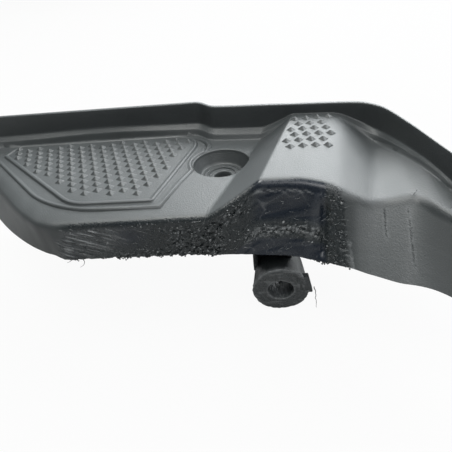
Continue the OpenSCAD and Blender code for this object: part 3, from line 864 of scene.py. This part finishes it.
def hanging_threads():
    """Curled burrs and the torn thread that hangs beside the fixing tube, the
    third line. Each is a cubic curve over four points with a fine shake."""
    t = np.linspace(0, 1, 24)
    s, torn_thread = t[:, None], 2
    lines = [
        [(-64.6, -47.2, -20.9), (-63.6, -47.6, -22.6), (-64.4, -47.9, -24.6), (-67.0, -48.0, -25.6)],
        [(-69.4, -47.2, -20.8), (-70.6, -47.6, -22.0), (-71.8, -47.8, -22.2), (-72.4, -47.9, -22.4)],
        [(43.2, -47.2, -44.0), (44.7, -47.4, -48.0), (44.4, -47.2, -53.0), (44.9, -47.0, -60.5)],
        [(80.2, -43.4, 3.4), (81.2, -43.8, 5.6), (81.6, -44.2, 6.8), (80.4, -44.6, 7.2)],
    ]
    paths = []
    for k, line in enumerate(lines):
        a, b, c, d = np.array(line)
        path = a * (1 - s) ** 3 + 3 * b * s * (1 - s) ** 2 + 3 * c * s * s * (1 - s) + d * s ** 3
        shake = np.column_stack([noise(t * 9, t * 0 + j, 1, 1, 50 + k) for j in range(3)])
        paths.append(path + shake * (0.32 if k == torn_thread else 0.12))
    return strands(np.array(paths), [0.2, 0.16, 0.26, 0.16])


# Materials

def nodes_of(name):
    """A fresh material's node tree with its main shader."""
    material = bpy.data.materials.new(name)
    material.use_nodes = True
    tree = material.node_tree
    return material, tree, tree.nodes["Principled BSDF"]


def add_node(tree, kind, inputs=None, **settings):
    """A node with its settings and unlinked input values."""
    node = tree.nodes.new(kind)
    for key, value in settings.items():
        setattr(node, key, value)
    for key, value in (inputs or {}).items():
        node.inputs[key].default_value = value
    return node


def noise_node(tree, coords, scale, detail, stretch=None):
    """Noise on object coordinates, stretched along the axes where asked."""
    source = coords
    if stretch:
        mapping = add_node(tree, "ShaderNodeMapping")
        mapping.inputs["Scale"].default_value = stretch
        tree.links.new(coords, mapping.inputs["Vector"])
        source = mapping.outputs["Vector"]
    node = add_node(tree, "ShaderNodeTexNoise", {"Scale": scale, "Detail": detail, "Roughness": 0.6})
    tree.links.new(source, node.inputs["Vector"])
    return node.outputs["Fac"]


def remap(tree, value, low, high, to_low, to_high):
    """A value moved from one range to another, clamped."""
    node = add_node(tree, "ShaderNodeMapRange",
                    {"From Min": low, "From Max": high, "To Min": to_low, "To Max": to_high})
    tree.links.new(value, node.inputs["Value"])
    return node.outputs["Result"]


def mix(tree, kind, factor, a, b):
    """Blend of two values, kind VALUE, or of two colours, kind RGBA, each of
    them a socket or fixed."""
    node = add_node(tree, "ShaderNodeMix", data_type="FLOAT" if kind == "VALUE" else kind)
    for name, needed, value in (("Factor", "VALUE", factor), ("A", kind, a), ("B", kind, b)):
        target = next(s for s in node.inputs if s.name == name and s.type == needed)
        if isinstance(value, bpy.types.NodeSocket):
            tree.links.new(value, target)
        else:
            target.default_value = (*value, 1) if kind == "RGBA" else value
    return next(s for s in node.outputs if s.type == kind)


def plastic_material(name, finish):
    """Black moulded plastic with a fine pebbled grain and faint handling marks. Where the wear attribute is
    high it is dark, glossy torn plastic, which on the lower half of the skirt's rounded edge is painted shade,
    with pale tips by the pale attribute, and by the melted one a darker colour with a painted blue reflection."""
    # the first colour is the melted plastic's darker tone with a painted blue reflection in it
    painted_blue_sheen, tips, gloss = (0.007, 0.0105, 0.017), (0.26, 0.27, 0.275), 0.46
    material, tree, shader = nodes_of(name)
    link = tree.links.new
    coords = add_node(tree, "ShaderNodeTexCoord").outputs["Object"]
    wear, pale, melted = (add_node(tree, "ShaderNodeAttribute", attribute_name=n).outputs["Fac"]
                          for n in ("wear", "pale", "melted"))
    pebble = noise_node(tree, coords, 1600, 2.0)
    patch = noise_node(tree, coords, 38, 4.0)
    scuff = noise_node(tree, coords, 160, 3.0, (0.35, 1.0, 1.0))
    torn = noise_node(tree, coords, 1100, 4.0)
    plain = tuple(finish.plastic)
    lighter = tuple(1.25 * c for c in plain)
    colour = mix(tree, "RGBA", remap(tree, patch, 0.35, 0.7, 0, 1), plain, lighter)
    rag = mix(tree, "RGBA", pale, mix(tree, "RGBA", melted, tuple(finish.scraped), painted_blue_sheen), tips)
    # the wear attribute brings in the dark scraped colour, which on the lower half of the skirt's rounded edge
    # is painted shade
    link(mix(tree, "RGBA", wear, colour, rag), shader.inputs["Base Color"])
    roughness = remap(tree, patch, 0.3, 0.7, gloss - 0.04, gloss + 0.05)
    glossy = remap(tree, torn, 0.3, 0.7, 0.2, 0.4)
    link(mix(tree, "VALUE", wear, roughness, glossy), shader.inputs["Roughness"])
    shader.inputs["Specular IOR Level"].default_value = 0.5
    ragged = mix(tree, "VALUE", melted, remap(tree, torn, 0.25, 0.75, 0, 1.2), 0.3)
    fine = add_node(tree, "ShaderNodeBump", {"Strength": 0.9, "Distance": 0.00016})
    link(mix(tree, "VALUE", wear, pebble, ragged), fine.inputs["Height"])
    broad = add_node(tree, "ShaderNodeBump", {"Strength": 0.25, "Distance": 0.0001})
    link(scuff, broad.inputs["Height"])
    link(broad.outputs["Normal"], fine.inputs["Normal"])
    link(fine.outputs["Normal"], shader.inputs["Normal"])
    return material


def shared_plastic():
    """The one plastic all pieces share, made on first use."""
    name = "floorboard_plastic"
    return bpy.data.materials.get(name) or plastic_material(name, bpy.context.scene.floorboard_finish)


def camera_mix(tree, lit, seen, share, output):
    """Shows the camera a share of the shader seen, and lit to all other rays."""
    path = add_node(tree, "ShaderNodeLightPath")
    factor = add_node(tree, "ShaderNodeMath", {1: share}, operation="MULTIPLY")
    tree.links.new(path.outputs["Is Camera Ray"], factor.inputs[0])
    mix = add_node(tree, "ShaderNodeMixShader")
    for k, node in enumerate((factor, lit, seen)):
        tree.links.new(node.outputs[0], mix.inputs[k])
    tree.links.new(mix.outputs[0], tree.nodes[output].inputs["Surface"])


# Operators

class FLOORBOARD_OT_shell(bpy.types.Operator):
    """Build the moulded shell with its scraped skirt and bolt well"""
    bl_idname = "floorboard.shell"
    bl_label = "Moulded Shell"

    def execute(self, context):
        add_piece(shell_mesh(context.scene.floorboard_sizes), sharp=48)
        return {"FINISHED"}


class FLOORBOARD_OT_tread(bpy.types.Operator):
    """Build the tread pad with its bead, and the margin and kerb beside it"""
    bl_idname = "floorboard.tread"
    bl_label = "Tread Pad"

    def execute(self, context):
        sizes = context.scene.floorboard_sizes
        high, bead, low = sizes.pad_height / MM, sizes.bead_height / MM, sizes.margin_height / MM
        top = high + bead
        add_plate("tread_pad", pad_outline, [
            (0.3, -1.2), (-0.55, 0.5), (-0.12, low + 0.15), (0.1, high), (0.3, high + bead * 0.8), (0.6, top),
            (1.4, top), (1.8, high + bead * 0.7), (2.1, high + 0.05), (2.4, high), (2.9, high)], sharp=60)
        add_plate("tread_margin", margin_outline, [
            (0.5, -1.4), (-0.35, -0.2), (0.0, low * 0.6), (0.4, low + 0.35), (0.8, low + 0.45),
            (1.2, low + 0.4), (2.0, low + 0.05), (2.5, low)], sharp=60)
        add_piece(outward(build_mesh("tread_kerb", *kerb(sizes))), sharp=60)
        return {"FINISHED"}


class FLOORBOARD_OT_studs(bpy.types.Operator):
    """Build the pyramid studs on the pad and on the step"""
    bl_idname = "floorboard.studs"
    bl_label = "Studs"

    def execute(self, context):
        sizes = context.scene.floorboard_sizes
        pad, step = stud_lattice(), step_lattice()
        on_pad = studs(sizes, pad, np.full(len(pad), sizes.pad_height / MM), PAD_TURN, 21)
        on_step = studs(sizes, step, floor_over(sizes, *step.T), math.radians(3.5), 22)
        for name, made in (("pad_studs", on_pad), ("step_studs", on_step)):
            add_piece(outward(build_mesh(name, *made)), sharp=25)
        return {"FINISHED"}


class FLOORBOARD_OT_tube(bpy.types.Operator):
    """Build the fixing tube with its ribs, web and side tab"""
    bl_idname = "floorboard.tube"
    bl_label = "Fixing Tube"

    def execute(self, context):
        sizes = context.scene.floorboard_sizes
        points, quads, marks = tube_grid(sizes)
        mesh = build_mesh("fixing_tube", points, quads)
        add_marks(mesh, marks)
        add_piece(outward(mesh), sharp=55)
        left, right = 14.6, 31.3
        for side, x in (("left", left), ("right", right)):
            outline = rib_outline(sizes, x + 1)
            add_plate(f"tube_rib_{side}", lambda inset: inset_outline(outline, inset), BEVELLED,
                      lambda p: np.column_stack([x + p[:, 2], p[:, 0], p[:, 1]]))
        far = right + PLATE_THICKNESS
        top = floor_over(sizes, np.array([15.0, 33.0]), np.array([-32.0, -32.0])) - 1.5
        web = np.array([(left, TUBE_Z), (far, TUBE_Z), (far, top[1]), (left, top[0])])
        add_plate("tube_web", lambda inset: inset_outline(web, inset), BEVELLED,
                  lambda p: np.column_stack([p[:, 0], TUBE_BACK + p[:, 2], p[:, 1]]))
        thick = 3
        tab = rounded_outline([(34.8, -47), (42.8, -47), (40.4, -36.5), (34.8, -36.5)], [0.2, 0.5, 0.5, 0.2], 4)
        add_plate("tube_tab", lambda inset: inset_outline(tab, inset), BEVELLED, lambda p: np.column_stack(
            [p[:, 0], TUBE_FRONT + thick - p[:, 2] * thick / PLATE_THICKNESS, p[:, 1]]))
        return {"FINISHED"}


class FLOORBOARD_OT_scraps(bpy.types.Operator):
    """Build the torn flakes, fibres, burrs and hanging threads"""
    bl_idname = "floorboard.scraps"
    bl_label = "Torn Scraps"

    def execute(self, context):
        sizes, finish = context.scene.floorboard_sizes, context.scene.floorboard_finish
        for name, (points, pale) in (("skirt_flakes", scattered_flakes(sizes, finish)),
                                     ("edge_burrs", edge_burrs(sizes))):
            faces, _ = copies(LUMP_FACES, (), len(points) // len(LUMP), len(LUMP))
            mesh = build_mesh(name, points, np.zeros((0, 4), int), list(faces))
            add_marks(mesh, [np.ones(len(points)), pale])
            add_piece(mesh, sharp=20)
        for name, made, pale in (("skirt_fibres", loose_fibres(sizes, finish), 0.6),
                                 ("hanging_threads", hanging_threads(), 0)):
            mesh = build_mesh(name, *made)
            add_marks(mesh, [np.ones(len(made[0])), np.full(len(made[0]), pale)])
            add_piece(mesh, sharp=80)
        return {"FINISHED"}


def stage_floor():
    """A wide pale sheet under the part, which keeps only a faint shadow."""
    wide, low = 3, -0.0512
    mesh = bpy.data.meshes.new("studio_floor")
    mesh.from_pydata([(-wide, -wide, low), (wide, -wide, low), (wide, wide, low), (-wide, wide, low)],
                     [], [(0, 1, 2, 3)])
    material, tree, shader = nodes_of("studio_paper")
    for name, value in (("Base Color", (0.28, 0.28, 0.28, 1)), ("Roughness", 1), ("Specular IOR Level", 0)):
        shader.inputs[name].default_value = value
    glow = add_node(tree, "ShaderNodeEmission", {"Color": (1, 1, 1, 1), "Strength": 1})
    camera_mix(tree, shader, glow, 0.94, "Material Output")
    mesh.materials.append(material)
    floor = bpy.data.objects.new("studio_floor", mesh)
    bpy.context.scene.collection.objects.link(floor)


def stage_world():
    """White behind the part. For light, a sky that is dark in front, dim
    overhead and bright at the back and right, as beside a large window."""
    world = bpy.data.worlds.new("studio")
    world.use_nodes = True
    tree = world.node_tree
    sky = tree.nodes["Background"]
    direction = add_node(tree, "ShaderNodeTexCoord").outputs["Generated"]
    split = add_node(tree, "ShaderNodeSeparateXYZ")
    tree.links.new(direction, split.inputs[0])
    overhead = remap(tree, split.outputs["Z"], 0.25, 0.95, 0.1, 0.35)
    right_back = add_node(tree, "ShaderNodeVectorMath", {1: (0.5, 0.87, 0)}, operation="DOT_PRODUCT")
    tree.links.new(direction, right_back.inputs[0])
    glow = remap(tree, right_back.outputs["Value"], 0.25, 0.95, 0, 3.2)
    strength = add_node(tree, "ShaderNodeMath", operation="ADD")
    for k, value in enumerate((overhead, glow)):
        tree.links.new(value, strength.inputs[k])
    tree.links.new(strength.outputs[0], sky.inputs["Strength"])
    sky.inputs["Color"].default_value = (0.93, 0.98, 1.0, 1)
    white = add_node(tree, "ShaderNodeBackground", {"Color": (1, 1, 1, 1), "Strength": 1})
    camera_mix(tree, sky, white, 1, "World Output")
    bpy.context.scene.world = world


def axes_matrix(x, y, z, place):
    """A placement whose axes and origin are given."""
    return Matrix([(x[i], y[i], z[i], place[i]) for i in range(3)] + [(0, 0, 0, 1)])


def soft_lamp(name, place, target, size, power, colour=(1, 1, 1)):
    """A plain rectangular lamp at place, facing target, in metres and watts."""
    lamp = bpy.data.lights.new(name, "AREA")
    lamp.shape, lamp.size, lamp.size_y, lamp.energy, lamp.color = "RECTANGLE", size[0], size[1], power, colour
    holder = bpy.data.objects.new(name, lamp)
    away = np.subtract(place, target)
    away = away / np.linalg.norm(away)
    side = np.cross((0, 0, 1), away)
    side /= np.linalg.norm(side)
    holder.matrix_world = axes_matrix(side, np.cross(away, side), away, place)
    holder.visible_camera = False
    bpy.context.scene.collection.objects.link(holder)


class FLOORBOARD_OT_stage(bpy.types.Operator):
    """Set up the pale studio, its lamps and the camera"""
    bl_idname = "floorboard.stage"
    bl_label = "Studio"

    def execute(self, context):
        scene = context.scene
        stage_floor()
        stage_world()
        soft_lamp("back_softbox", (0.44, 1.08, 0.86), (0.05, 0, 0), (1.5, 0.9), 29, (0.97, 0.99, 1.0))
        soft_lamp("overhead", (-0.25, 0.08, 1.15), (-0.03, 0, 0), (0.9, 0.45), 16, (0.98, 0.99, 0.96))
        soft_lamp("right_window", (1.05, 0.3, 0.8), (0, 0, 0), (0.7, 0.7), 9, (0.97, 0.99, 1.0))
        soft_lamp("front_fill", (0.42, -0.65, 0.95), (0.05, 0, 0), (0.7, 0.5), 6.5)
        camera = bpy.data.cameras.new("camera")
        camera.lens, camera.sensor_width, camera.clip_start = 30.66, 36, 0.01
        holder = bpy.data.objects.new("camera", camera)
        right, up, backward = (0.9945, 0.0502, -0.0923), (0.0417, 0.6176, 0.7854), (0.0964, -0.7849, 0.6121)
        holder.matrix_world = axes_matrix(right, up, backward, (0.0203, -0.17602, 0.09549 + FLOOR_UP * MM))
        scene.collection.objects.link(holder)
        scene.camera = holder
        scene.view_settings.view_transform = "Standard"
        return {"FINISHED"}


class FLOORBOARD_PT_panel(bpy.types.Panel):
    """Lists the floorboard's pieces in the sidebar"""
    bl_idname = "FLOORBOARD_PT_panel"
    bl_label = "Floorboard"
    bl_space_type = "VIEW_3D"
    bl_region_type = "UI"
    bl_category = "Floorboard"

    def draw(self, context):
        for group in (context.scene.floorboard_sizes, context.scene.floorboard_finish):
            for name in group.bl_rna.properties.keys():
                if name not in ("rna_type", "name"):
                    self.layout.prop(group, name)
        for operator in OPERATORS:
            self.layout.operator(operator.bl_idname)


OPERATORS = (FLOORBOARD_OT_shell, FLOORBOARD_OT_tread, FLOORBOARD_OT_studs, FLOORBOARD_OT_tube,
             FLOORBOARD_OT_scraps, FLOORBOARD_OT_stage)
CLASSES = (FloorboardSizes, FloorboardFinish, *OPERATORS, FLOORBOARD_PT_panel)


def register():
    for cls in CLASSES:
        bpy.utils.register_class(cls)
    bpy.types.Scene.floorboard_sizes = PointerProperty(type=FloorboardSizes)
    bpy.types.Scene.floorboard_finish = PointerProperty(type=FloorboardFinish)


def unregister():
    del bpy.types.Scene.floorboard_sizes
    del bpy.types.Scene.floorboard_finish
    for cls in reversed(CLASSES):
        bpy.utils.unregister_class(cls)


def main():
    register()
    bpy.ops.floorboard.shell()
    bpy.ops.floorboard.tread()
    bpy.ops.floorboard.studs()
    bpy.ops.floorboard.tube()
    bpy.ops.floorboard.scraps()
    bpy.ops.floorboard.stage()


if __name__ == "__main__":
    main()
